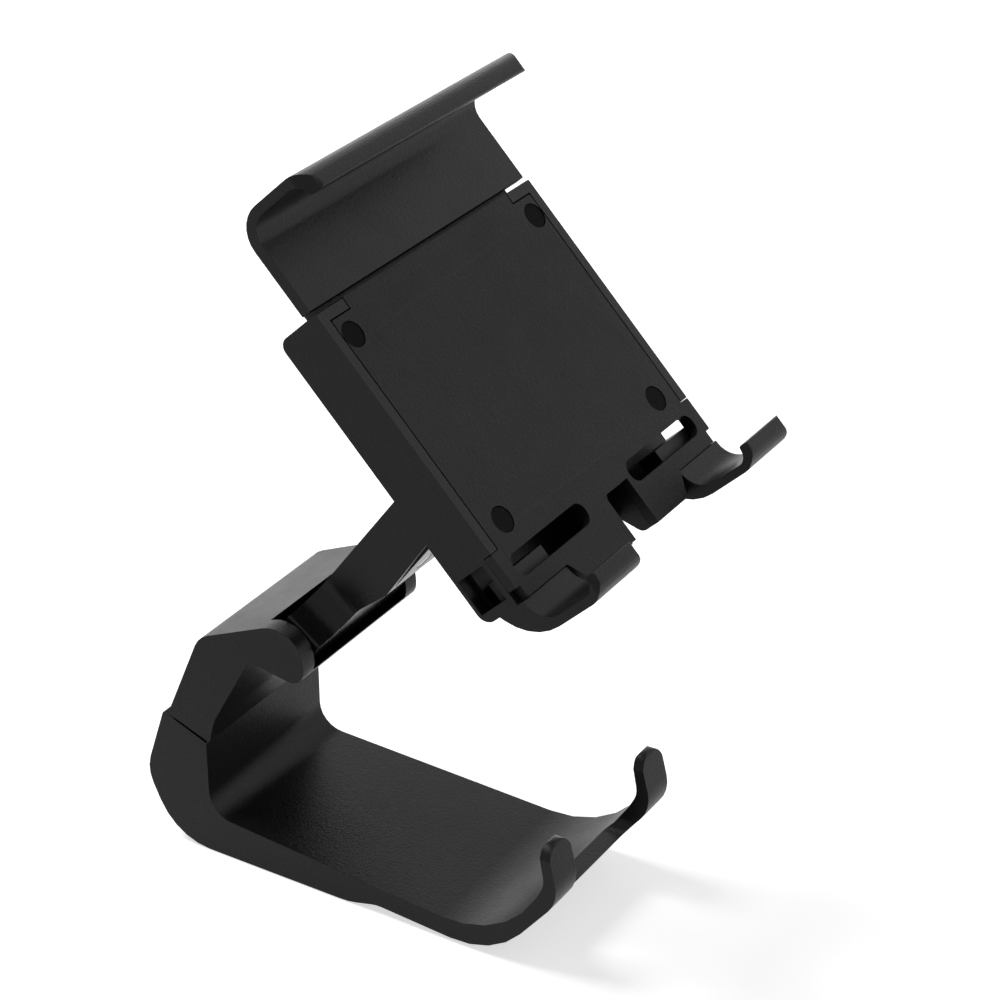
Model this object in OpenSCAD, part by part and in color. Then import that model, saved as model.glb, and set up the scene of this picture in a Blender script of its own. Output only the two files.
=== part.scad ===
// Spring-clip holder that stands a handheld game console above a game controller.
// A C-shaped clip grips the controller, an arm rises from its hook, and a cradle
// with a sprung top jaw holds the console. All sizes are in millimetres.
// X runs across the width, -Y points to the player, and +Z points up.
// The origin is the middle of the flat foot under the clip.

/* [Clip] */
// Width of the clip at its rear wall
clip_rear_w = 42; // [38:0.5:48]
// Width of the clip at its front prongs
clip_front_w = 46.4; // [42:0.2:50]
// Length of the flat foot under the clip
foot_l = 36; // [30:1:40]
// Inner length of the clip, from its rear wall to its prongs
throat_l = 82.2; // [76:0.2:92]
// Height from the ground to the middle of the hook's nose
nose_h = 54.4; // [50:0.2:62]
// Thickness of the clip's floor at its rear wall
floor_rear_t = 9.3; // [8:0.1:11]
// Thickness of the clip's floor at its front
floor_front_t = 4; // [3:0.1:5]
// Height of the shallow arch under the floor
arch_h = 1.8; // [1:0.1:2.2]
// Height of the prongs above the ground
prong_h = 30.4; // [28:0.1:32]
// Thickness of a prong
prong_t = 3.8; // [3:0.1:4.6]
// Width of a prong
prong_w = 8.2; // [6:0.1:11]
// Height of the floor's front edge between the prongs
prong_gap_h = 12.2; // [10:0.1:14]

/* [Clip jaw] */
// Lean of the jaw's slide from vertical, in degrees
slide_lean = 21; // [16:1:24]
// Height of the seam between the body and the jaw, at the middle of the wall
seam_h = 28.9; // [28:0.1:30]
// Thickness of the body's rear wall at the seam
seam_t = 11.9; // [11.4:0.1:13]
// Gap that shows between the body and the jaw
seam_gap = 1; // [0.6:0.1:1.4]
// Width of the jaw
jaw_w = 42.6; // [40:0.2:46]
// Radius of the hook's nose
nose_r = 6; // [5.6:0.1:7]
// Distance from the inner wall forward to the middle of the nose
nose_reach = 19.7; // [18:0.1:24]
// Width of the jaw's tongue inside the body
tongue_w = 33; // [30:0.5:34]
// Thickness of the jaw's tongue
tongue_t = 6; // [5.4:0.1:6.4]
// Travel of the clip jaw along its slide
clip_travel = 10; // [6:0.5:10]
// Radius of the cross pins that hold the clip springs
spring_pin_r = 0.8; // [0.6:0.05:0.9]
// Distance of each clip spring from the middle
clip_spring_x = 9.5; // [8:0.5:11]

/* [Arm] */
// Lean of the arm from vertical, in degrees
arm_lean = 36.4; // [30:0.2:45]
// Furthest back that the arm turns from rest, in degrees
arm_back = 33; // [20:1:33]
// Furthest forward that the arm turns from rest, in degrees
arm_forward = 40; // [30:1:40]
// Distance between the arm's two hinge pins
arm_l = 58.7; // [54:0.2:66]
// Depth of the arm from front to back
arm_d = 11.2; // [10:0.1:12]
// Width of the arm along its length
arm_w = 18; // [16:0.2:20]
// Thickness of the hook's lug on each side of the arm's root
lug_t = 4; // [3.6:0.1:6]
// Width of the arm's top between the cradle's ears
top_barrel_w = 14.4; // [12:0.2:15]
// Radius of the round ends of the arm
barrel_r = 4.7; // [4.5:0.1:4.8]
// Wall thickness of the arm
arm_wall = 1.8; // [1.4:0.1:2.2]
// Radius of both hinge pins
hinge_pin_r = 1.6; // [1.3:0.05:1.8]
// Thickness of one friction washer
washer_t = 0.4; // [0.3:0.05:0.5]

/* [Cradle] */
// Tilt of the cradle back from vertical, in degrees
cradle_tilt = 43.4; // [38:0.2:52]
// Width of the cradle's housing
cradle_w = 76.2; // [74:0.2:82]
// Depth of the housing from its front face to its back
housing_d = 11.5; // [11:0.1:14]
// Height of the tilt pin above the housing's middle datum
tilt_pin_u = -15.5; // [-18:0.5:-12]
// Distance of the tilt pin behind the housing's back
tilt_pin_out = 7.5; // [7:0.1:9]
// Top edge of the housing above the datum
housing_top = 21.8; // [20:0.1:26]
// Bottom edge of the housing below the datum
housing_drop = 42.7; // [42:0.1:44]
// Bottom edge of the chin between the hooks, below the datum
chin_drop = 47.6; // [46:0.1:48.4]
// Thickness of the housing's walls
shell_t = 1.9; // [1.6:0.1:2.2]
// Width of the housing's side rims beside the front panel
rim_t = 2.4; // [2:0.1:2.8]
// Thickness of the front panel
panel_t = 2; // [1.8:0.1:2.2]
// Gap between the front panel and the rim around it
panel_gap = 0.15; // [0.1:0.05:0.3]
// Width of the corner tab at each top corner
tab_w = 8.8; // [7:0.1:9.5]
// Height of the corner tabs
tab_h = 2.5; // [2:0.1:3]

/* [Hooks and slots] */
// Distance of each lower hook's outer end inside the housing's side
hook_side = 0.1; // [0.1:0.1:2]
// Inner end of each lower hook from the middle
hook_in = 22.4; // [20:0.1:26]
// Reach of the lower hooks in front of the panel
hook_reach = 16.2; // [15:0.1:20]
// Underside of the lower hooks below the datum
hook_drop = 50; // [49.8:0.1:52]
// Wall thickness of the lower hooks
hook_t = 1.8; // [1.5:0.1:2.2]
// Height of the hooks' tips above their floor
hook_tip_h = 3.1; // [2.4:0.1:4]
// Height of each sound slot in the panel
slot_h = 4.8; // [4.2:0.1:5]
// Middle of the sound slots below the datum
slot_drop = 36.9; // [36.6:0.1:37.4]
// Inner end of each sound slot from the middle
slot_in = 8.6; // [8:0.1:11]
// Distance of each sound slot's outer end inside the housing's side
slot_side = 3.1; // [3.1:0.1:6]
// Left edge of the cable notch in the chin, from the middle
notch_left = -3.6; // [-5:0.1:-2]
// Left edge of the notch's deep part, from the middle
notch_step = 1; // [0:0.1:2]
// Right edge of the notch, from the middle
notch_right = 7.1; // [5:0.1:7.3]
// Top of the notch below the datum
notch_drop = 37.1; // [36.6:0.1:39]
// Depth of the notch behind the panel's face
notch_d = 8; // [6:0.1:9]

/* [Top jaw] */
// How far each end of the top jaw stays inside the housing's side
top_inset = 0.1; // [0:0.1:1]
// Thickness of the top jaw's plate
top_t = 2.4; // [2:0.1:2.8]
// How far the plate's face lies behind the panel's face
top_set_back = 0.65; // [0.4:0.05:1]
// Gap between the plate and the panel
top_gap = 0.9; // [0.6:0.1:1.4]
// Top of the lip above the datum
lip_top = 43.9; // [42:0.1:50]
// Reach of the lip in front of the panel
lip_reach = 17.2; // [15:0.1:20]
// Travel of the top jaw
top_travel = 16; // [10:0.5:16]
// Distance of the top jaw's tongue inside the housing's sides
rail_side = 10.6; // [10.6:0.1:13]
// Distance of the tongue's neck inside the housing's sides
neck_side = 4.1; // [4.1:0.1:8]
// Thickness of the tongue
rail_t = 3; // [2.6:0.1:3.2]

/* [Fasteners and plugs] */
// Distance of the upper plugs inside the housing's sides
plug_top_in = 5.3; // [5.1:0.1:6.1]
// Height of the upper plugs above the datum
plug_top_u = 15; // [13:0.5:16]
// Distance of the lower plugs inside the housing's sides
plug_low_in = 8.5; // [7:0.1:10]
// Depth of the lower plugs below the datum
plug_low_u = 28.5; // [27:0.5:29]
// Radius of the rubber plugs over the screws
plug_r = 2.7; // [2.5:0.05:2.8]
// Thickness of the rubber plugs
plug_t = 0.7; // [0.5:0.05:0.9]
// Radius of the screws' shanks
screw_r = 1; // [0.8:0.05:1.1]
// Length of the screws' shanks
screw_l = 5; // [4:0.5:5.5]

/* [Hidden] */
$fn = 48;
fit = 0.1;
run = 0.05;
over = 0.5;
reach = throat_l;

// Clip body, all measured from the middle of the foot
wall_y = foot_l / 2 - 0.6;
front_y = wall_y - throat_l;
heel_out = 9.6;
bulge_out = 16.6;
bulge_h = 15;
heel_r = 14;
bulge_r = 9;
toe_run = 11.3;
toe_r = 20;
toe_h = 19;
prong_tip_t = 2.2;
floor_run = 8.4;
floor_r = 24;

// Slide frame of the clip jaw: its origin is the middle of the seam
slide_dir = [-sin(slide_lean), cos(slide_lean)];
slide_out = [cos(slide_lean), sin(slide_lean)];
seam = [wall_y + 5.75, seam_h];
jaw_in = seam_t / 2 + 0.85;
jaw_out = seam_t / 2 - 1.55;
tongue_y = -0.9;
tongue_l = clip_travel + 4;
socket_end = tongue_l + 1.2;
body_pin_z = -tongue_l + 0.9;
jaw_pin_z = 10.5;
clip_spring_r = 1.9;
clip_wire_r = 0.25;

// Root hinge and arm
arm_gap = 0.3;
nose = [wall_y - nose_reach, nose_h];
root_w = jaw_w - 2 * lug_t - 2 * washer_t - 4 * run;
pocket_w = jaw_w - 2 * lug_t;
pocket_r = barrel_r + arm_gap;
barrel_d = 2 * barrel_r - 0.5;
arm_rear = barrel_d / 2;
arm_front = arm_d - arm_rear;
flare_start = 5.2;
flare_end = 7;
flare_r = 7.5;
neck_end = arm_l - 9;
neck_start = arm_l - 15;
arm_dir = [-sin(arm_lean), cos(arm_lean)];
tilt_pin = nose + arm_l * arm_dir;
ear_gap = top_barrel_w + 2 * washer_t + 4 * run;
ear_t = 3.6;
ear_r = 5.4;
bolt_head_r = 3.2;
bolt_head_t = 2;
nut_r = 3.4;
nut_t = 2.4;

// Cradle datum, placed so that its tilt pin meets the top of the arm
tilt_pin_y = housing_d + tilt_pin_out;
cradle_y = tilt_pin[0] - tilt_pin_y * cos(cradle_tilt) - tilt_pin_u * sin(cradle_tilt);
cradle_z = tilt_pin[1] + tilt_pin_y * sin(cradle_tilt) - tilt_pin_u * cos(cradle_tilt);
half_w = cradle_w / 2;
plug_top_x = half_w - plug_top_in;
plug_low_x = half_w - plug_low_in;
slot_out = half_w - slot_side;
hook_out = half_w - hook_side;
rail_w = cradle_w - 2 * rail_side;
rail_neck_w = cradle_w - 2 * neck_side;
strip_end = 32.3;
tip_corner_r = 2.2;
lip_corner_r = 4.5;
hook_seam = hook_drop - 7.5;
rail_back = panel_t + 1.2;
rail_keep = 13.8;
rail_end = housing_top - top_travel - rail_keep;
rail_neck = housing_top - 2.8;
grip_spring_x = 7;
grip_spring_r = 2.2;
grip_wire_r = 0.3;
post_r = 1.2;
post_u = -29;
grip_peg_u = rail_end + 2;
spring_turns = 10;
wire_sides = 5;
turn_steps = 8;

function unit(v) = v / norm(v);
function point(p) = [p[0], p[1]];
function arc_count(turn) = max(2, ceil(turn / 15));

// Points that round one corner of an outline between its two neighbours
function corner(before, at, after, r) =
    let (
        a = unit(point(before) - point(at)),
        b = unit(point(after) - point(at)),
        half = acos(a * b) / 2,
        centre = point(at) + unit(a + b) * r / sin(half),
        first = point(at) + a * r / tan(half) - centre,
        last = point(at) + b * r / tan(half) - centre,
        turn = acos(max(-1, min(1, unit(first) * unit(last)))),
        side = sign(first[0] * last[1] - first[1] * last[0]),
        count = arc_count(turn)
    )
    [for (i = [0 : count])
        let (t = side * turn * i / count)
        centre + [
            first[0] * cos(t) - first[1] * sin(t),
            first[0] * sin(t) + first[1] * cos(t)
        ]];

// Outline with rounded corners, from a list of [x, y, radius]
function rounded(corners) =
    let (n = len(corners))
    [for (i = [0 : n - 1])
        let (c = corners[i])
        for (p = c[2] > 0 ? corner(corners[(i + n - 1) % n], c, corners[(i + 1) % n], c[2])
                          : [point(c)])
            p];

// Point of the slide frame, given as [across the wall, along the slide]
function on_slide(y, z) = seam + y * slide_out + z * slide_dir;

// Extrudes a side view, drawn as [y, z], across the width
module across(width, middle = 0) {
    translate([middle - width / 2, 0, 0])
        rotate([90, 0, 90])
            linear_extrude(width)
                children();
}

// Extrudes a front view, drawn as [x, z], from y_low to y_high
module through(y_low, y_high) {
    translate([0, y_high, 0])
        rotate([90, 0, 0])
            linear_extrude(y_high - y_low)
                children();
}

// A rod along X
module rod(r, x_low, x_high, y = 0, z = 0) {
    translate([x_low, y, z])
        rotate([0, 90, 0])
            cylinder(r = r, h = x_high - x_low);
}

// A peg along +Y
module peg(r, y_low, y_high, x = 0, z = 0) {
    translate([x, y_low, z])
        rotate([-90, 0, 0])
            cylinder(r = r, h = y_high - y_low);
}

module box(low, high) {
    translate(low)
        cube(high - low);
}

// Waste outside a rounded corner that points along +X or -X and along -Y
module corner_cut(side, r, height) {
    linear_extrude(height)
        difference() {
            polygon([[0, 0], [side * 2 * r, 0], [side * 2 * r, -2 * r], [0, -2 * r]]);
            circle(r);
        }
}

module in_slide() {
    translate([0, seam[0], seam[1]])
        rotate([slide_lean, 0, 0])
            children();
}

module in_arm() {
    translate([0, nose[0], nose[1]])
        rotate([arm_lean, 0, 0])
            children();
}

module in_cradle() {
    translate([0, cradle_y, cradle_z])
        rotate([-cradle_tilt, 0, 0])
            children();
}

// Side view of the clip body
body_corners = concat(
    [
        [on_slide(seam_t / 2, 0)[0], on_slide(seam_t / 2, 0)[1], 0.5],
        [wall_y + bulge_out, bulge_h, bulge_r],
        [wall_y + heel_out, 0, heel_r],
        [-foot_l / 2, 0, 16],
        [-foot_l / 2 - 7, arch_h, 8],
        [front_y + toe_run, 0, toe_r],
        [front_y - prong_t - 0.4, toe_h, 8],
        [front_y + 0.8 - prong_tip_t, prong_h, 1]
    ],
    [
        [front_y + 0.8, prong_h, 1],
        [front_y - 0.8, toe_h + 2.8, 5],
        [front_y + floor_run, floor_front_t, floor_r],
        [wall_y, floor_rear_t, 6],
        [on_slide(-seam_t / 2, 0)[0], on_slide(-seam_t / 2, 0)[1], 0.5]
    ]
);

// Half width of the clip at a distance along Y
function clip_half(y) =
    (clip_rear_w + (clip_front_w - clip_rear_w) * (wall_y - y) / throat_l) / 2;

// Plan of the clip, which widens towards its prongs
module clip_plan() {
    polygon([
        [-clip_half(reach), reach],
        [clip_half(reach), reach],
        [clip_half(-2 * reach), -2 * reach],
        [-clip_half(-2 * reach), -2 * reach]
    ]);
}

// Gap between the prongs, seen from the front
module prong_gap() {
    inner = clip_half(front_y) - prong_w;
    through(front_y - reach, front_y + 9)
        polygon(rounded([
            [-inner, reach, 0],
            [-inner, prong_gap_h, 3],
            [inner, prong_gap_h, 3],
            [inner, reach, 0]
        ]));
}

// Rounds the top of each prong, seen from the front
module prong_corners() {
    r = prong_w / 2 + 0.3;
    for (side = [-1, 1])
        through(front_y - reach, front_y + 12)
            translate([side * (clip_half(front_y) - prong_w / 2), prong_h - r])
                difference() {
                    translate([-r - over, 0])
                        square([2 * r + 2 * over, reach]);
                    circle(r);
                }
}

module clip_body() {
    color([0.07, 0.07, 0.075])
        difference() {
            intersection() {
                across(2 * clip_front_w)
                    polygon(rounded(body_corners));
                translate([0, 0, -reach])
                    linear_extrude(3 * reach)
                        clip_plan();
            }
            prong_gap();
            prong_corners();
            in_slide() {
                box([-tongue_w / 2 - fit, tongue_y - tongue_t / 2 - fit, -socket_end],
                    [tongue_w / 2 + fit, tongue_y + tongue_t / 2 + fit, over]);
                rod(spring_pin_r + 0.02, -tongue_w / 2 - 1.5, reach, tongue_y, body_pin_z);
            }
        }
}

module body_spring_pin() {
    color("silver")
        in_slide()
            rod(spring_pin_r, -tongue_w / 2 - 1.4, clip_rear_w / 2 - 1.5, tongue_y, body_pin_z);
}

// Side view of the clip jaw
jaw_corners = concat(
    [
        [on_slide(jaw_out, seam_gap)[0], on_slide(jaw_out, seam_gap)[1], 0.5],
        [wall_y + 0.6, nose_h - 1.9, 6],
        [nose[0] - nose_r, nose_h + 9.4, nose_r + 1]
    ],
    [
        [nose[0] - nose_r + 0.3, nose_h - 6.5, 3.4],
        [nose[0] + 5.3, nose_h - 4.3, 5],
        [nose[0] + 8.1, nose_h - 4.6, 3],
        [wall_y - 2.4, seam_h + 4.3, 12],
        [on_slide(-jaw_in, seam_gap)[0], on_slide(-jaw_in, seam_gap)[1], 0.5]
    ]
);

// Room that the arm sweeps between its two limits, in side view
module arm_sweep() {
    clear = barrel_r + arm_gap;
    back = arm_lean - arm_back;
    front = arm_lean + arm_forward;
    middle = (back + front) / 2;
    back_dir = [-sin(back), cos(back)];
    front_dir = [-sin(front), cos(front)];
    back_out = [cos(back), sin(back)] * clear;
    front_out = -[cos(front), sin(front)] * clear;
    polygon([
        nose + back_out,
        nose + back_out + back_dir * reach,
        nose + [-sin(middle), cos(middle)] * 2 * reach,
        nose + front_out + front_dir * reach,
        nose + front_out
    ]);
}

// Room for the arm's flared root, round the hinge pin
module root_room() {
    half = pocket_w / 2;
    shank = arm_w / 2 + 0.6;
    side = [
        [barrel_r + 3, half],
        [barrel_r + 3.5, half - 2.3],
        [flare_r + 1.9, shank + 2.3],
        [flare_end + 6, shank],
        [reach, shank]
    ];
    mirrored = [for (i = [len(side) - 1 : -1 : 0]) [side[i][0], -side[i][1]]];
    translate([0, nose[0], nose[1]])
        rotate([0, 90, 0])
            rotate_extrude()
                polygon(concat([[0, half]], side, mirrored, [[0, -half]]));
}

module clip_jaw() {
    color([0.07, 0.07, 0.075])
        difference() {
            union() {
                across(jaw_w)
                    polygon(rounded(jaw_corners));
                in_slide()
                    box([-tongue_w / 2, tongue_y - tongue_t / 2, -tongue_l],
                        [tongue_w / 2, tongue_y + tongue_t / 2, seam_gap + 2]);
            }
            intersection() {
                across(2 * pocket_w)
                    arm_sweep();
                root_room();
            }
            rod(pocket_r, -pocket_w / 2, pocket_w / 2, nose[0], nose[1]);
            rod(hinge_pin_r + 0.02, -jaw_w / 2 + 1.3, jaw_w / 2 + over, nose[0], nose[1]);
            rod(3, jaw_w / 2 - 1.6, jaw_w / 2 + over, nose[0], nose[1]);
            in_slide() {
                for (side = [-1, 1])
                    translate([side * clip_spring_x, tongue_y, -tongue_l - over])
                        cylinder(r = clip_spring_r + 0.35, h = tongue_l + over + jaw_pin_z + 2.4);
                rod(spring_pin_r + 0.02, -tongue_w / 2 + 2, jaw_w / 2 + over, tongue_y, jaw_pin_z);
                box([-tongue_w / 2 - over, tongue_y - spring_pin_r - 0.3, -tongue_l - over],
                    [tongue_w / 2 + over, tongue_y + spring_pin_r + 0.3,
                     body_pin_z + spring_pin_r + 0.3]);
            }
        }
}

module jaw_spring_pin() {
    color("silver")
        in_slide()
            rod(spring_pin_r, -tongue_w / 2 + 2.1, jaw_w / 2 - 1, tongue_y, jaw_pin_z);
}

// Points of a spring's wire: a hook at each end and a coil between them
function coil_path(r, low, high) =
    let (steps = spring_turns * turn_steps)
    [for (i = [0 : steps])
        let (t = 360 * i / turn_steps)
        [r * cos(t), r * sin(t), low + (high - low) * i / steps]];

// Wire swept along a path as one closed mesh
module wire(path, r) {
    last = len(path) - 1;
    ring = [for (i = [0 : last])
        let (
            ahead = unit(path[min(i + 1, last)] - path[max(i - 1, 0)]),
            out = unit(cross(ahead, [0.31, 0.17, 0.93])),
            up = cross(ahead, out)
        )
        for (k = [0 : wire_sides - 1])
            let (t = 360 * k / wire_sides)
            path[i] + r * (out * cos(t) + up * sin(t))];
    sides = [for (i = [0 : last - 1])
        for (k = [0 : wire_sides - 1])
            let (n = (k + 1) % wire_sides)
            [i * wire_sides + k, i * wire_sides + n,
             (i + 1) * wire_sides + n, (i + 1) * wire_sides + k]];
    start = [for (k = [wire_sides - 1 : -1 : 0]) k];
    end = [for (k = [0 : wire_sides - 1]) last * wire_sides + k];
    polyhedron(ring, concat(sides, [start, end]), 2);
}

// Extension spring along Z between two anchors of the given radius, which its hooks hold
module spring(r, wire_r, low, high, anchor_r) {
    eye = anchor_r + wire_r + 0.05;
    coil_low = low + eye + 1.2;
    coil_high = high - eye - 1.2;
    coil = coil_path(r - wire_r, coil_low, coil_high);
    wire(concat(
        [for (t = [60 : -30 : -210]) [0, eye * cos(t), low + eye * sin(t)]],
        coil,
        [for (t = [210 : -30 : -60]) [0, -eye * cos(t), high + eye * sin(t)]]
    ), wire_r);
}

module clip_spring(side) {
    color("silver")
        in_slide()
            translate([side * clip_spring_x, tongue_y, 0])
                spring(clip_spring_r, clip_wire_r, body_pin_z, jaw_pin_z, spring_pin_r);
}

module clip_spring_left() {
    clip_spring(-1);
}

module clip_spring_right() {
    clip_spring(1);
}

module root_hinge_pin() {
    color("silver")
        rod(hinge_pin_r, -jaw_w / 2 + 1.4, jaw_w / 2 - 1.7, nose[0], nose[1]);
}

module root_pin_cap() {
    color([0.07, 0.07, 0.075])
        rod(2.95, jaw_w / 2 - 1.55, jaw_w / 2 - 0.1, nose[0], nose[1]);
}

// Friction washer in the middle of the play beside a barrel
module washer(side, half) {
    low = side > 0 ? half + run : -half - run - washer_t;
    color("silver")
        difference() {
            rod(barrel_r - 0.4, low, low + washer_t);
            rod(hinge_pin_r + 0.06, low - over, low + washer_t + over);
        }
}

module root_washer_left() {
    in_arm()
        washer(-1, root_w / 2);
}

module root_washer_right() {
    in_arm()
        washer(1, root_w / 2);
}

// Front view of the arm between its barrels
arm_front_corners = [
    [-root_w / 2, 0, 0],
    [-root_w / 2, flare_start, 0.8],
    [-arm_w / 2, flare_end, flare_r],
    [-arm_w / 2, neck_start, 4],
    [-top_barrel_w / 2, neck_end, 4],
    [-top_barrel_w / 2, arm_l, 0],
    [top_barrel_w / 2, arm_l, 0],
    [top_barrel_w / 2, neck_end, 4],
    [arm_w / 2, neck_start, 4],
    [arm_w / 2, flare_end, flare_r],
    [root_w / 2, flare_start, 0.8],
    [root_w / 2, 0, 0]
];

// Side view of the arm between its barrels
shank_low = flare_end + flare_r + 7;
arm_side_corners = [
    [arm_rear, 0, 0],
    [arm_rear, arm_l, 0],
    [-barrel_d / 2, arm_l, 0],
    [-barrel_d / 2, neck_end, 4],
    [-arm_front + 0.9, neck_start, 4],
    [-arm_front, shank_low, 6],
    [-barrel_d / 2, shank_low - 9, 6],
    [-barrel_d / 2, 0, 0]
];

module arm_blank() {
    intersection() {
        through(-arm_d, arm_d)
            polygon(rounded(arm_front_corners));
        across(2 * root_w)
            polygon(rounded(arm_side_corners));
    }
    rod(barrel_r, -root_w / 2, root_w / 2);
    rod(barrel_r, -top_barrel_w / 2, top_barrel_w / 2, 0, arm_l);
}

arm_bay_half = arm_w / 2 - arm_wall;
arm_bay_low = shank_low + 1.5;
arm_bay_high = neck_start - 1.5;
arm_screw_z = [arm_bay_low + 4, arm_bay_high - 4];

module arm_shell() {
    color([0.05, 0.05, 0.055])
        in_arm()
            difference() {
                arm_blank();
                difference() {
                    box([-arm_bay_half, -arm_d, arm_bay_low],
                        [arm_bay_half, arm_rear - arm_wall, arm_bay_high]);
                    for (z = arm_screw_z)
                        peg(screw_r * 2.4, -arm_front + arm_wall, arm_rear, 0, z);
                }
                for (z = arm_screw_z)
                    peg(screw_r + 0.02, -arm_d, arm_rear - arm_wall + 0.6, 0, z);
                rod(hinge_pin_r + run, -root_w / 2 - over, root_w / 2 + over);
                rod(hinge_pin_r + run, -top_barrel_w / 2 - over, top_barrel_w / 2 + over, 0, arm_l);
            }
}

module arm_cover() {
    color([0.05, 0.05, 0.055])
        in_arm()
            difference() {
                box([-arm_bay_half + fit, -arm_front, arm_bay_low + fit],
                    [arm_bay_half - fit, -arm_front + arm_wall, arm_bay_high - fit]);
                for (z = arm_screw_z) {
                    peg(screw_r + 0.15, -arm_d, arm_d, 0, z);
                    peg(screw_r * 2.1, -arm_d, -arm_front + 1, 0, z);
                }
            }
}

// Pan-head screw that points along +Y, with the underside of its head at y = 0
module screw(length) {
    peg(screw_r, 0, length);
    peg(screw_r * 2, -0.9, 0);
}

module arm_screws() {
    color("silver")
        in_arm()
            for (z = arm_screw_z)
                translate([0, -arm_front + 1, z])
                    screw(screw_l);
}

module tilt_bolt() {
    color("silver")
        in_arm()
            translate([0, 0, arm_l]) {
                rod(hinge_pin_r, -ear_gap / 2 - ear_t - 1, ear_gap / 2 + ear_t);
                rod(bolt_head_r, ear_gap / 2 + ear_t - 0.6, ear_gap / 2 + ear_t + bolt_head_t - 0.6);
            }
}

module tilt_nut() {
    outer = ear_gap / 2 + ear_t;
    color("silver")
        in_arm()
            translate([0, 0, arm_l])
                difference() {
                    translate([-outer - nut_t + 1, 0, 0])
                        rotate([0, 90, 0])
                            cylinder(r = nut_r, h = nut_t, $fn = 6);
                    rod(hinge_pin_r + 0.02, -outer - nut_t, -outer + 2);
                }
}

module tilt_washer_left() {
    in_arm()
        translate([0, 0, arm_l])
            washer(-1, top_barrel_w / 2);
}

module tilt_washer_right() {
    in_arm()
        translate([0, 0, arm_l])
            washer(1, top_barrel_w / 2);
}

// Side view of a lower hook with its root in the housing
hook_floor = -hook_drop + hook_t;
hook_corners = [
    [housing_d - 4, -housing_drop + 6, 0],
    [housing_d - 4.1, -housing_drop, 0.5],
    [3.9, -hook_drop, 11],
    [-hook_reach, -hook_drop, 3.6],
    [-hook_reach, hook_floor + hook_tip_h, 0.6],
    [-hook_reach + 1.4, hook_floor + hook_tip_h, 0.5],
    [-hook_reach + 1.9, hook_floor, 2.4],
    [0.4, hook_floor, 5.2],
    [0.4, -hook_seam - 0.1, 0.2],
    [panel_t + 0.4, -hook_seam - 0.1, 0],
    [panel_t + 0.4, -housing_drop + 6, 0]
];

// Rounds one end of a hook's tip, seen from above
module hook_corner_cut(side, edge) {
    x = edge > 0 ? hook_out : hook_in;
    translate([side * (x + edge * (0.1 - tip_corner_r)), -hook_reach - 0.1 + tip_corner_r,
               -hook_drop - over])
        corner_cut(side * edge, tip_corner_r, hook_t + hook_tip_h + 2 * over);
}

// Side view of the housing above its hooks
housing_corners = [
    [0, housing_top, 0.3],
    [housing_d, housing_top, 2.2],
    [housing_d, -housing_drop, 2.6],
    [0, -housing_drop, 0]
];

// Side view of the chin between the hooks, behind the panel
chin_corners = [
    [panel_t + 0.1, -housing_drop + 3, 0],
    [housing_d - 3, -housing_drop + 3, 0],
    [housing_d - 4, -housing_drop, 0.5],
    [4.6, -chin_drop, 2],
    [panel_t + 0.1, -chin_drop, 0.2]
];

// Ear that holds the tilt bolt
module ear(side) {
    middle = side * (ear_gap + ear_t) / 2;
    across(ear_t, middle)
        polygon(concat(
            [[housing_d - 0.5, tilt_pin_u + ear_r + 3], [housing_d - 0.5, tilt_pin_u - ear_r - 3]],
            [for (t = [-65 : 13 : 65])
                [tilt_pin_y + ear_r * cos(t), tilt_pin_u + ear_r * sin(t)]]
        ));
}

plug_at = [
    [-plug_top_x, plug_top_u],
    [plug_top_x, plug_top_u],
    [-plug_low_x, -plug_low_u],
    [plug_low_x, -plug_low_u]
];

// Puts one copy at each plug, in the front view
module plug_spots() {
    for (p = plug_at)
        translate(p)
            children();
}

// Puts one copy at each plug, in the cradle
module plug_places() {
    for (p = plug_at)
        translate([p[0], 0, p[1]])
            children();
}

// Guide ribs beside the top jaw's tongue
module rail_guides() {
    for (side = [-1, 1])
        across(1.4, side * (rail_w / 2 + 1))
            polygon([
                [rail_back - 0.4, rail_end - 14],
                [housing_d - shell_t + 0.1, rail_end - 16.5],
                [housing_d - shell_t + 0.1, rail_neck - 0.4],
                [rail_back - 0.4, rail_neck - 0.4]
            ]);
}

module housing_bay() {
    inner = half_w - rim_t;
    box([-inner, panel_t, -strip_end + 0.9],
        [inner, housing_d - shell_t, housing_top - shell_t]);
    for (side = [-1, 1])
        box([side > 0 ? 9 : -inner, panel_t, -housing_drop + shell_t],
            [side > 0 ? inner : -9, housing_d - shell_t, -strip_end - 0.7]);
}

// Shallow part of the cable notch, with a sloping left side
module notch_scoop() {
    translate([0, 0, -reach])
        linear_extrude(reach - notch_drop)
            polygon([
                [notch_left, -over],
                [notch_left + 1.4, panel_t * 0.6],
                [notch_left + 1.8, panel_t + over],
                [notch_right, panel_t + over],
                [notch_right, -over]
            ]);
}

// Deep part of the cable notch
module notch_slot() {
    through(-over, notch_d)
        polygon(rounded([
            [notch_step, -notch_drop, 1.6],
            [notch_right, -notch_drop, 0.5],
            [notch_right, -reach, 0],
            [notch_step, -reach, 0]
        ]));
}

// Room for the front panel in the housing's front
module panel_room(gap) {
    inner = half_w - rim_t + gap;
    box([-inner, -over, -strip_end - gap], [inner, panel_t + gap / 2, housing_top - tab_h + gap]);
    box([-half_w + tab_w - gap, -over, 0], [half_w - tab_w + gap, panel_t + gap / 2, housing_top + over]);
    box([-half_w - over, -over, -reach], [half_w + over, panel_t + gap / 2, -strip_end + gap]);
}

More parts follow.
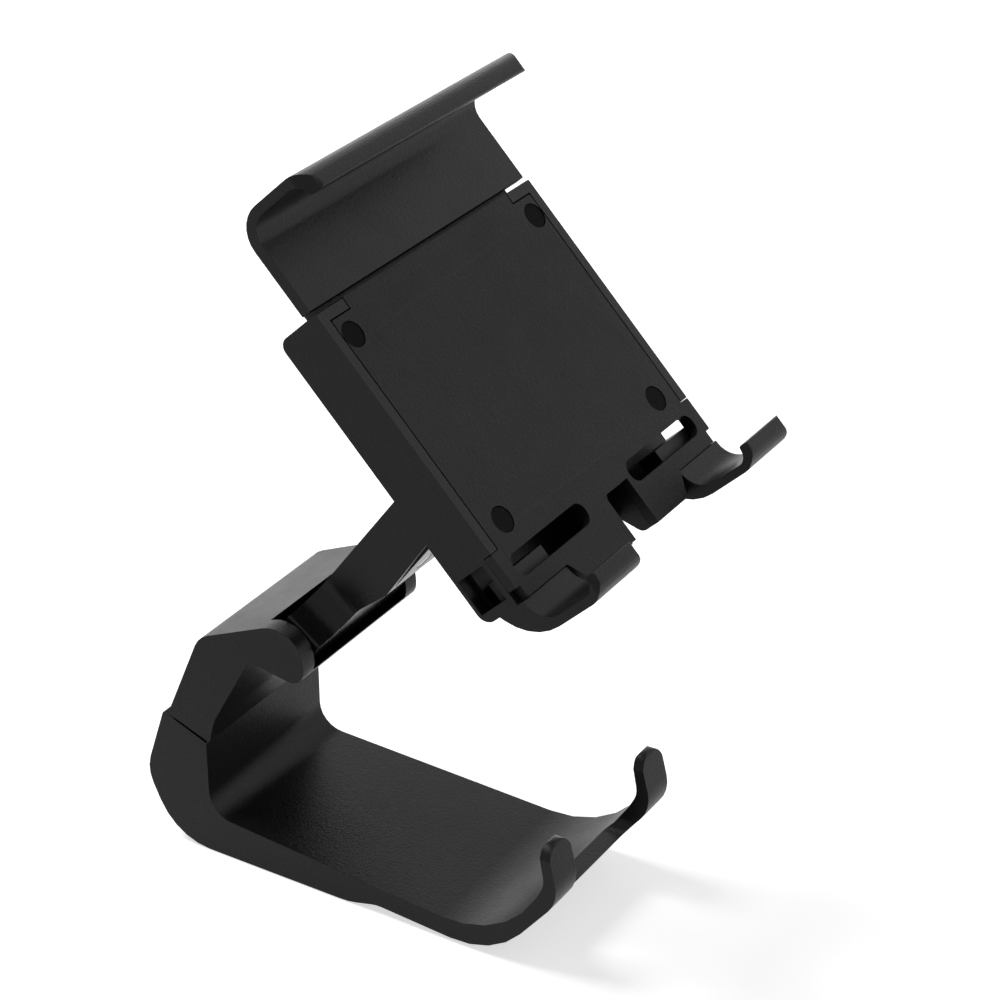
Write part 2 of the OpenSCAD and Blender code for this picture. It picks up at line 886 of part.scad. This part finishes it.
module rear_housing() {
    color([0.07, 0.07, 0.075])
        in_cradle()
            difference() {
                union() {
                    difference() {
                        union() {
                            across(cradle_w)
                                polygon(rounded(housing_corners));
                            across(2 * (hook_in - 3.4))
                                polygon(rounded(chin_corners));
                        }
                        housing_bay();
                        panel_room(panel_gap);
                    }
                    for (side = [-1, 1]) {
                        across(hook_out - hook_in, side * (hook_out + hook_in) / 2)
                            polygon(rounded(hook_corners));
                        across(6, side * (hook_in - 2))
                            translate([panel_t + 0.4, -chin_drop + 0.6])
                                square([4 - panel_t - 0.4, chin_drop - hook_seam + 0.4]);
                    }
                    for (side = [-1, 1])
                        ear(side);
                    rail_guides();
                    plug_places()
                        peg(2.6, panel_t + 1.4, housing_d - shell_t + 0.1);
                    for (side = [-1, 1])
                        peg(post_r, panel_t + 2, housing_d - shell_t + 0.1, side * grip_spring_x,
                            post_u);
                }
                notch_slot();
                for (side = [-1, 1]) {
                    across(4, side * (half_w - 1))
                        translate([3.3, -housing_drop + 2.1])
                            square([housing_d - 4.2, housing_drop - strip_end - 2.8]);
                    for (edge = [-1, 1])
                        hook_corner_cut(side, edge);
                }
                plug_places()
                    peg(screw_r + 0.02, panel_t, housing_d - 1.2);
                rod(hinge_pin_r + 0.02, -reach, reach, tilt_pin_y, tilt_pin_u);
                rod(bolt_head_r + 0.1, ear_gap / 2 + ear_t - 0.6, reach, tilt_pin_y, tilt_pin_u);
                translate([-ear_gap / 2 - ear_t - 3, tilt_pin_y, tilt_pin_u])
                    rotate([cradle_tilt + arm_lean, 0, 0])
                        rotate([0, 90, 0])
                            cylinder(r = nut_r + 0.1, h = 4, $fn = 6);
                box([-rail_neck_w / 2 - 2 * fit, rail_back - fit, housing_top - shell_t - 1],
                    [rail_neck_w / 2 + 2 * fit, rail_back + rail_t + fit, housing_top + over]);
            }
}

module front_panel() {
    rim = half_w - rim_t - panel_gap;
    tab = half_w - tab_w - panel_gap;
    shoulder = housing_top - tab_h - panel_gap;
    step = hook_drop - 10.1;
    outline = [
        [tab, housing_top, 0.4],
        [tab, shoulder, 0],
        [rim, shoulder, 0.4],
        [rim, -strip_end, 0],
        [half_w, -strip_end, 0.3],
        [half_w, -step, 0.3],
        [hook_out - 1.4, -step, 0],
        [hook_out - 1.4, -hook_seam, 0],
        [hook_in, -hook_seam, 0],
        [hook_in - 3.4, -chin_drop, 1]
    ];
    mirrored = [for (i = [len(outline) - 1 : -1 : 0]) [-outline[i][0], outline[i][1], outline[i][2]]];
    color([0.08, 0.08, 0.085])
        in_cradle()
            difference() {
                union() {
                    through(0, panel_t)
                        polygon(rounded(concat(outline, mirrored)));
                    through(panel_t - 0.1, panel_t + 1.3)
                        intersection() {
                            polygon(rounded(concat(outline, mirrored)));
                            plug_spots()
                                circle(3.6);
                        }
                }
                notch_scoop();
                plug_places() {
                    peg(plug_r + 0.05, -over, 1.9);
                    peg(screw_r + 0.15, -over, 5);
                }
                for (side = [-1, 1])
                    through(-over, panel_t + over)
                        translate([side * (slot_in + slot_out) / 2, -slot_drop])
                            polygon(rounded([
                                [-(slot_out - slot_in) / 2, -slot_h / 2, 2.2],
                                [(slot_out - slot_in) / 2, -slot_h / 2, 2.2],
                                [(slot_out - slot_in) / 2, slot_h / 2, 2.2],
                                [-(slot_out - slot_in) / 2, slot_h / 2, 2.2]
                            ]));
            }
}

module panel_screws() {
    color("silver")
        in_cradle()
            plug_places()
                translate([0, 1.9, 0])
                    screw(screw_l);
}

module plug(x, u) {
    color([0.04, 0.04, 0.04])
        in_cradle()
            peg(plug_r, 0.15, 0.15 + plug_t, x, u);
}

module plug_top_left() {
    plug(-plug_top_x, plug_top_u);
}

module plug_top_right() {
    plug(plug_top_x, plug_top_u);
}

module plug_low_left() {
    plug(-plug_low_x, -plug_low_u);
}

module plug_low_right() {
    plug(plug_low_x, -plug_low_u);
}

// Side view of the top jaw's plate and lip
top_base = housing_top + top_gap;
lip_drop = 5.2;
top_w = cradle_w - 2 * top_inset;
lip_corners = [
    [top_set_back + top_t, top_base, 0.3],
    [top_set_back + top_t, lip_top, 6.5],
    [-lip_reach, lip_top, 4.1],
    [-lip_reach, lip_top - lip_drop, 0.9],
    [-lip_reach + 1.8, lip_top - lip_drop, 0.7],
    [-lip_reach + 3.2, lip_top - 2, 3],
    [top_set_back, lip_top - 2, 4.5],
    [top_set_back, top_base, 0.3]
];

module top_jaw() {
    color([0.07, 0.07, 0.075])
        in_cradle() {
            difference() {
                across(top_w)
                    polygon(rounded(lip_corners));
                for (side = [-1, 1])
                    translate([side * (top_w / 2 + 0.1 - lip_corner_r), -lip_reach - 0.1 + lip_corner_r, 0])
                        corner_cut(side, lip_corner_r, lip_top + over);
            }
            box([-rail_w / 2, rail_back, rail_end], [rail_w / 2, rail_back + rail_t, rail_neck + 0.1]);
            across(rail_neck_w)
                polygon([
                    [rail_back, rail_neck],
                    [rail_back + rail_t, rail_neck],
                    [rail_back + rail_t, top_base + 7],
                    [top_set_back + top_t - 0.4, top_base + 9],
                    [top_set_back + top_t - 0.4, top_base + 0.5],
                    [rail_back, top_base + 0.5]
                ]);
            for (side = [-1, 1])
                peg(post_r, rail_back + rail_t - 0.1, housing_d - shell_t - 0.3, side * grip_spring_x,
                    grip_peg_u);
        }
}

module grip_spring(side) {
    color("silver")
        in_cradle()
            translate([side * grip_spring_x, rail_back + rail_t + grip_wire_r + 0.5, 0])
                rotate([0, 0, 90])
                    spring(grip_spring_r, grip_wire_r, post_u, grip_peg_u, post_r);
}

module grip_spring_left() {
    grip_spring(-1);
}

module grip_spring_right() {
    grip_spring(1);
}

clip_body();
body_spring_pin();
clip_jaw();
jaw_spring_pin();
clip_spring_left();
clip_spring_right();
root_hinge_pin();
root_pin_cap();
root_washer_left();
root_washer_right();
arm_shell();
arm_cover();
arm_screws();
tilt_bolt();
tilt_nut();
tilt_washer_left();
tilt_washer_right();
rear_housing();
front_panel();
panel_screws();
plug_top_left();
plug_top_right();
plug_low_left();
plug_low_right();
top_jaw();
grip_spring_left();
grip_spring_right();
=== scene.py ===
"""Looks for the controller holder: materials, softened edges, floor, lights and camera."""

import math

import bpy
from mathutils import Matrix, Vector

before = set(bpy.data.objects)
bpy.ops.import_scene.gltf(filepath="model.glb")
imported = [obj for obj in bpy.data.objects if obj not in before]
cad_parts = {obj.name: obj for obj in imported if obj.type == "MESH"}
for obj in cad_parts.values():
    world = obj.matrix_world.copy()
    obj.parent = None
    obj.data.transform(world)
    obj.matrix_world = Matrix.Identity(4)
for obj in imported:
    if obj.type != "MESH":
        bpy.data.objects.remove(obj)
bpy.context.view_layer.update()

# Lengths are in metres unless their name says otherwise
MM = 0.001

# Camera fitted to the photograph
CAMERA_AT = Vector((-0.4583, -0.3160, 0.3730))
CAMERA_LOOKS = Vector((0.7586, 0.4543, -0.4670))
LENS_MM = 110.95
SENSOR_MM = 36.0
CLIP_NEAR = 0.01
CLIP_FAR = 20

# Softened edges: edges that turn by more than SHARP_DEG stay sharp until they are bevelled
SHARP_DEG = 32
FLAT_DEG = 0.5
JOIN_MM = 0.002
BEVEL_SEGMENTS = 2

# Colours as linear values
WHITE = (1.0, 1.0, 1.0, 1.0)
BLACK_BODY = (0.0050, 0.0050, 0.0053)
BLACK_PANEL = (0.0070, 0.0070, 0.0074)
BLACK_ARM = (0.0045, 0.0045, 0.0048)
BLACK_RUBBER = (0.0050, 0.0050, 0.0052)
STEEL = (0.55, 0.55, 0.57)
ZINC = (0.50, 0.51, 0.53)
FLOOR = (0.86, 0.86, 0.86)

# Features per metre of the noises that all pieces share
FLOW_SCALE = 26.0
# Patch noise for rubbed roughness and for the patches of painted edge highlight
RUB_AND_HIGHLIGHT_SCALE = 140.0
DULL_SCALE = 320.0
DUST_SCALE = 900.0
PORE_SCALE = 5200.0

# Part of a noise's range that is spread over the whole of an effect
MIDDLE = (0.3, 0.7)
# Span of the patch noise over which the painted edge highlight spreads
EDGE_HIGHLIGHT_SPAN = (0.35, 0.7)
SPECKED = (0.45, 0.75)
DUSTY = (0.5, 0.8)
# Pointiness range over which the painted edge highlight comes in
EDGE_POINTINESS = (0.53, 0.62)

POLYMER_IOR = 1.5
RUBBER_SPECULAR = 0.08

# Floor, which glows to the camera and fades into the white surround between two distances
FLOOR_HALF = 1.6
FLOOR_DROP = 0.0002
FLOOR_GLOW = 0.64
FADE = (0.35, 0.70)
BACKDROP_RADIUS = 0.5
BACKDROP_TOP = 1.6
BACKDROP_STEPS = 10

# Point that the lamps face, and the surround's strength as light and as background
AIM = Vector((0, -0.02, 0.08))
WORLD_LIGHT = 0.16
WORLD_SEEN = 1.0

# Places of the colour sockets in a Mix node, whose names are shared with its other kinds
MIX_FACTOR = 0
MIX_FIRST = 6
MIX_SECOND = 7
MIX_RESULT = 2


class Nodes:
    """Short way to fill one node tree."""

    def __init__(self, tree, output_kind):
        self.tree = tree
        self.tree.nodes.clear()
        self.output = self.add(output_kind)

    def feed(self, socket, value):
        """Sets a socket, or links it when the value is another node's output."""
        if isinstance(value, bpy.types.NodeSocket):
            self.tree.links.new(value, socket)
        else:
            socket.default_value = value

    def add(self, kind, **inputs):
        """New node. An input's name is written with _ for each space."""
        node = self.tree.nodes.new(kind)
        for name, value in inputs.items():
            self.feed(node.inputs[name.replace("_", " ")], value)
        return node

    def object_place(self):
        """Place on the object, which moves with its piece."""
        return self.add("ShaderNodeTexCoord").outputs["Object"]

    def noise(self, where, scale, detail=3.0, roughness=0.5):
        node = self.add("ShaderNodeTexNoise", Vector=where, Scale=scale, Detail=detail, Roughness=roughness)
        return node.outputs["Fac"]

    def between(self, factor, low, high, span=MIDDLE):
        """Value that runs from low to high while the factor runs over the span."""
        node = self.add("ShaderNodeMapRange", Value=factor, From_Min=span[0], From_Max=span[1],
                        To_Min=low, To_Max=high)
        return node.outputs["Result"]

    def mix(self, factor, first, second):
        """Colour between two colours."""
        node = self.tree.nodes.new("ShaderNodeMix")
        node.data_type = "RGBA"
        self.feed(node.inputs[MIX_FACTOR], factor)
        self.feed(node.inputs[MIX_FIRST], first)
        self.feed(node.inputs[MIX_SECOND], second)
        return node.outputs[MIX_RESULT]

    def math(self, operation, first, second):
        node = self.tree.nodes.new("ShaderNodeMath")
        node.operation = operation
        self.feed(node.inputs[0], first)
        self.feed(node.inputs[1], second)
        return node.outputs[0]

    def bump(self, height, strength, distance):
        node = self.add("ShaderNodeBump", Height=height, Strength=strength, Distance=distance)
        return node.outputs["Normal"]

    def background_ray(self):
        """1 for the rays that see the background: the camera's, a mirror's and those through glass."""
        path = self.add("ShaderNodeLightPath").outputs
        direct = self.math("MAXIMUM", path["Is Camera Ray"], path["Is Glossy Ray"])
        return self.math("MAXIMUM", direct, path["Is Transmission Ray"])


def shade(colour, factor):
    """Colour scaled by a factor, with its alpha."""
    return tuple(c * factor for c in colour) + (1.0,)


def empty_material(name):
    """New material and the nodes that fill it."""
    material = bpy.data.materials.new(name)
    material.use_nodes = True
    return material, Nodes(material.node_tree, "ShaderNodeOutputMaterial")


# The last argument sets how strong the painted highlight on the sharp edges gets.
def moulded(name, colour, rough, grain_mm, depth_mm, specular, painted_highlight_strength=0.5):
    """Black moulded plastic: spark texture, faint flow tone, and sharp edges lightened in patches as a
    painted highlight of their rounding.
    """
    material, n = empty_material(name)
    where = n.object_place()
    grain = n.noise(where, 1.0 / (grain_mm * MM), 2.0, 0.6)
    speck = n.noise(where, 0.45 / (grain_mm * MM), 1.0)
    flow = n.noise(where, FLOW_SCALE, 4.0, 0.55)
    rub_and_highlight = n.noise(where, RUB_AND_HIGHLIGHT_SCALE, 5.0, 0.65)

    pointiness = n.add("ShaderNodeNewGeometry").outputs["Pointiness"]
    edge = n.between(pointiness, 0.0, 1.0, EDGE_POINTINESS)
    # Painted highlight: sharp outer edges are lighter in patches, standing in for the light their rounding
    # catches.
    painted_edge_highlight = n.math("MULTIPLY", edge, n.between(rub_and_highlight, 0.1, painted_highlight_strength, EDGE_HIGHLIGHT_SPAN))
    base = n.mix(n.between(flow, 0.0, 1.0), shade(colour, 0.86), shade(colour, 1.14))
    specked = n.mix(n.between(grain, 0.0, 0.35, SPECKED), base, shade(colour, 3.0))
    spread = n.math("ADD", n.between(flow, -0.04, 0.04), n.between(rub_and_highlight, -0.035, 0.035))
    height = n.math("ADD", grain, n.math("MULTIPLY", speck, 0.7))

    # The base colour carries the painted edge highlight over the specks and flow tone.
    shader = n.add("ShaderNodeBsdfPrincipled", IOR=POLYMER_IOR, Specular_IOR_Level=specular,
                   Base_Color=n.mix(painted_edge_highlight, specked, shade(colour, 3.2)),
                   Roughness=n.math("ADD", spread, rough),
                   Normal=n.bump(height, 1.0, depth_mm * MM))
    n.feed(n.output.inputs["Surface"], shader.outputs["BSDF"])
    return material


def metal(name, colour, rough, scratch_mm):
    """Bare or plated steel with fine drawing lines and a few dull patches."""
    material, n = empty_material(name)
    where = n.object_place()
    drawn = n.add("ShaderNodeMapping", Vector=where, Scale=(0.08, 1.0, 1.0)).outputs["Vector"]
    lines = n.noise(drawn, 1.0 / (scratch_mm * MM), 4.0, 0.6)
    dull = n.between(n.noise(where, DULL_SCALE, 4.0, 0.6), 0.0, 1.0)

    shader = n.add("ShaderNodeBsdfPrincipled", Metallic=1.0,
                   Base_Color=n.mix(dull, shade(colour, 0.72), shade(colour, 1.05)),
                   Roughness=n.math("ADD", n.between(lines, -0.06, 0.1), rough),
                   Normal=n.bump(lines, 0.4, 0.01 * MM))
    n.feed(n.output.inputs["Surface"], shader.outputs["BSDF"])
    return material


def rubber(name, colour):
    """Dull rubber with dust in its pores."""
    material, n = empty_material(name)
    where = n.object_place()
    pores = n.noise(where, PORE_SCALE, 2.0, 0.7)
    dust = n.between(n.noise(where, DUST_SCALE, 4.0, 0.6), 0.0, 0.5, DUSTY)

    shader = n.add("ShaderNodeBsdfPrincipled", IOR=POLYMER_IOR, Specular_IOR_Level=RUBBER_SPECULAR,
                   Base_Color=n.mix(dust, shade(colour, 0.9), shade(colour, 2.4)),
                   Roughness=n.between(pores, 0.72, 0.9),
                   Normal=n.bump(pores, 0.6, 0.03 * MM))
    n.feed(n.output.inputs["Surface"], shader.outputs["BSDF"])
    return material


def studio_floor():
    """Pale floor that looks white to the camera and keeps the shadow."""
    material, n = empty_material("floor_paper")
    where = n.object_place()
    fibre = n.noise(where, DUST_SCALE)
    paper = n.add("ShaderNodeBsdfDiffuse", Color=n.mix(fibre, shade(FLOOR, 0.99), shade(FLOOR, 1.01)))

    away = n.add("ShaderNodeVectorMath")
    away.operation = "LENGTH"
    n.feed(away.inputs[0], where)
    level = n.between(away.outputs["Value"], FLOOR_GLOW, WORLD_SEEN, FADE)
    glow = n.add("ShaderNodeEmission", Color=WHITE,
                 Strength=n.math("MULTIPLY", n.background_ray(), level))

    both = n.add("ShaderNodeAddShader")
    n.feed(both.inputs[0], paper.outputs[0])
    n.feed(both.inputs[1], glow.outputs[0])
    n.feed(n.output.inputs["Surface"], both.outputs[0])
    return material


MATERIALS = {
    "body": moulded("body_plastic", BLACK_BODY, rough=0.36, grain_mm=0.34, depth_mm=0.050,
                    specular=0.14),
    "panel": moulded("panel_plastic", BLACK_PANEL, rough=0.46, grain_mm=0.34, depth_mm=0.070,
                     specular=0.12),
    # The arm's painted edge highlight is weaker than on the other plastics.
    "arm": moulded("arm_plastic", BLACK_ARM, rough=0.28, grain_mm=0.5, depth_mm=0.015,
                   specular=0.15, painted_highlight_strength=0.3),
    "rubber": rubber("plug_rubber", BLACK_RUBBER),
    "steel": metal("pin_steel", STEEL, rough=0.3, scratch_mm=0.08),
    "spring": metal("spring_steel", STEEL, rough=0.26, scratch_mm=0.05),
    "zinc": metal("screw_zinc", ZINC, rough=0.36, scratch_mm=0.12),
}

# Each piece's material and the round on its edges in millimetres
FINISH = {
    "clip_body": ("body", 0.45),
    "clip_jaw": ("body", 0.45),
    "root_pin_cap": ("body", 0.2),
    "arm_shell": ("arm", 0.4),
    "arm_cover": ("arm", 0.2),
    "rear_housing": ("body", 0.3),
    "front_panel": ("panel", 0.2),
    "top_jaw": ("body", 0.35),
    "plug_top_left": ("rubber", 0.2),
    "plug_top_right": ("rubber", 0.2),
    "plug_low_left": ("rubber", 0.2),
    "plug_low_right": ("rubber", 0.2),
    "body_spring_pin": ("steel", 0.1),
    "jaw_spring_pin": ("steel", 0.1),
    "root_hinge_pin": ("steel", 0.2),
    "root_washer_left": ("spring", 0.05),
    "root_washer_right": ("spring", 0.05),
    "tilt_washer_left": ("spring", 0.05),
    "tilt_washer_right": ("spring", 0.05),
    "clip_spring_left": ("spring", 0.0),
    "clip_spring_right": ("spring", 0.0),
    "grip_spring_left": ("spring", 0.0),
    "grip_spring_right": ("spring", 0.0),
    "arm_screws": ("zinc", 0.12),
    "panel_screws": ("zinc", 0.12),
    "tilt_bolt": ("zinc", 0.25),
    "tilt_nut": ("zinc", 0.15),
}


def joined_faces():
    """Modifier tree that joins the split vertices and keeps only the real edges sharp."""
    tree = bpy.data.node_groups.new("joined_faces", "GeometryNodeTree")
    for side in ("INPUT", "OUTPUT"):
        tree.interface.new_socket("Geometry", in_out=side, socket_type="NodeSocketGeometry")
    n = Nodes(tree, "NodeGroupOutput")
    start = n.add("NodeGroupInput")
    merge = n.add("GeometryNodeMergeByDistance", Geometry=start.outputs[0], Distance=JOIN_MM * MM)

    sharp = n.add("FunctionNodeCompare")
    sharp.operation = "GREATER_THAN"
    n.feed(sharp.inputs[0], n.add("GeometryNodeInputMeshEdgeAngle").outputs["Unsigned Angle"])
    n.feed(sharp.inputs[1], math.radians(SHARP_DEG))

    normals = n.add("GeometryNodeSetMeshNormal")
    normals.mode = "SHARPNESS"
    n.feed(normals.inputs["Mesh"], merge.outputs[0])
    n.feed(normals.inputs["Remove Custom"], True)
    n.feed(normals.inputs["Edge Sharpness"], sharp.outputs[0])
    n.feed(n.output.inputs[0], normals.outputs[0])
    return tree


JOINED = joined_faces()


def dress(node, finish, edge_mm):
    """Gives one CAD node its material and, where it has sharp edges, a small round on them."""
    node.data.materials.clear()
    node.data.materials.append(MATERIALS[finish])
    node.modifiers.new("join_before", "NODES").node_group = JOINED
    if edge_mm > 0:
        flat = node.modifiers.new("flat_faces", "DECIMATE")
        flat.decimate_type = "DISSOLVE"
        flat.angle_limit = math.radians(FLAT_DEG)
        soft = node.modifiers.new("soft_edges", "BEVEL")
        soft.width = edge_mm * MM
        soft.segments = BEVEL_SEGMENTS
        soft.limit_method = "ANGLE"
        soft.angle_limit = math.radians(SHARP_DEG)
        soft.use_clamp_overlap = True
        node.modifiers.new("join_after", "NODES").node_group = JOINED
        even = node.modifiers.new("even_normals", "WEIGHTED_NORMAL")
        even.keep_sharp = True


def floor_sheet(name, material):
    """Floor that curves up into a backdrop behind the object, seen from the camera."""
    bend_from = FLOOR_HALF - BACKDROP_RADIUS
    profile = [(-FLOOR_HALF, 0.0), (bend_from, 0.0)]
    for i in range(1, BACKDROP_STEPS + 1):
        turn = math.pi / 2 * i / BACKDROP_STEPS
        along = bend_from + BACKDROP_RADIUS * math.sin(turn)
        profile.append((along, BACKDROP_RADIUS - BACKDROP_RADIUS * math.cos(turn)))
    profile.append((FLOOR_HALF, BACKDROP_TOP))

    forward = Vector((CAMERA_LOOKS.x, CAMERA_LOOKS.y, 0)).normalized()
    side = Vector((-forward.y, forward.x, 0))
    points = []
    for along, up in profile:
        for across in (-FLOOR_HALF, FLOOR_HALF):
            points.append(forward * along + side * across + Vector((0, 0, up - FLOOR_DROP)))
    faces = [(2 * i, 2 * i + 1, 2 * i + 3, 2 * i + 2) for i in range(len(profile) - 1)]

    mesh = bpy.data.meshes.new(name)
    mesh.from_pydata([tuple(p) for p in points], [], faces)
    mesh.polygons.foreach_set("use_smooth", [True] * len(faces))
    mesh.materials.append(material)
    made = bpy.data.objects.new(name, mesh)
    bpy.context.scene.collection.objects.link(made)


def place(name, data, at, looks):
    """Puts a lamp or a camera in the scene, turned to look along a direction."""
    made = bpy.data.objects.new(name, data)
    made.location = at
    made.rotation_mode = "QUATERNION"
    made.rotation_quaternion = looks.to_track_quat("-Z", "Y")
    bpy.context.scene.collection.objects.link(made)
    return made


def softbox(name, at, size, watts):
    """Square area lamp that faces the object."""
    lamp = bpy.data.lights.new(name, "AREA")
    lamp.shape = "SQUARE"
    lamp.size = size
    lamp.energy = watts
    place(name, lamp, at, AIM - Vector(at))


def white_world():
    """Even white surround: one strength lights the object, another is what is seen behind it."""
    world = bpy.data.worlds.new("studio")
    world.use_nodes = True
    n = Nodes(world.node_tree, "ShaderNodeOutputWorld")
    lit = n.add("ShaderNodeBackground", Color=WHITE, Strength=WORLD_LIGHT)
    seen = n.add("ShaderNodeBackground", Color=WHITE, Strength=WORLD_SEEN)
    either = n.add("ShaderNodeMixShader")
    n.feed(either.inputs[0], n.background_ray())
    n.feed(either.inputs[1], lit.outputs[0])
    n.feed(either.inputs[2], seen.outputs[0])
    n.feed(n.output.inputs["Surface"], either.outputs[0])
    bpy.context.scene.world = world


def photo_camera():
    """Camera where the photograph was taken from."""
    data = bpy.data.cameras.new("photo_camera")
    data.lens = LENS_MM
    data.sensor_width = SENSOR_MM
    data.clip_start = CLIP_NEAR
    data.clip_end = CLIP_FAR
    bpy.context.scene.camera = place("photo_camera", data, CAMERA_AT, CAMERA_LOOKS)


for piece, (finish, edge_mm) in FINISH.items():
    dress(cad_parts[piece], finish, edge_mm)

floor_sheet("floor", studio_floor())
softbox("key", (-0.1, 0.5, 1.0), size=0.5, watts=8.0)
softbox("fill", (0.8, -0.6, 0.6), size=1.0, watts=2.0)
softbox("rim", (0.9, 0.72, 0.3), size=0.7, watts=1.2)
white_world()
photo_camera()
bpy.context.scene.view_settings.view_transform = "Standard"

bpy.context.view_layer.update()
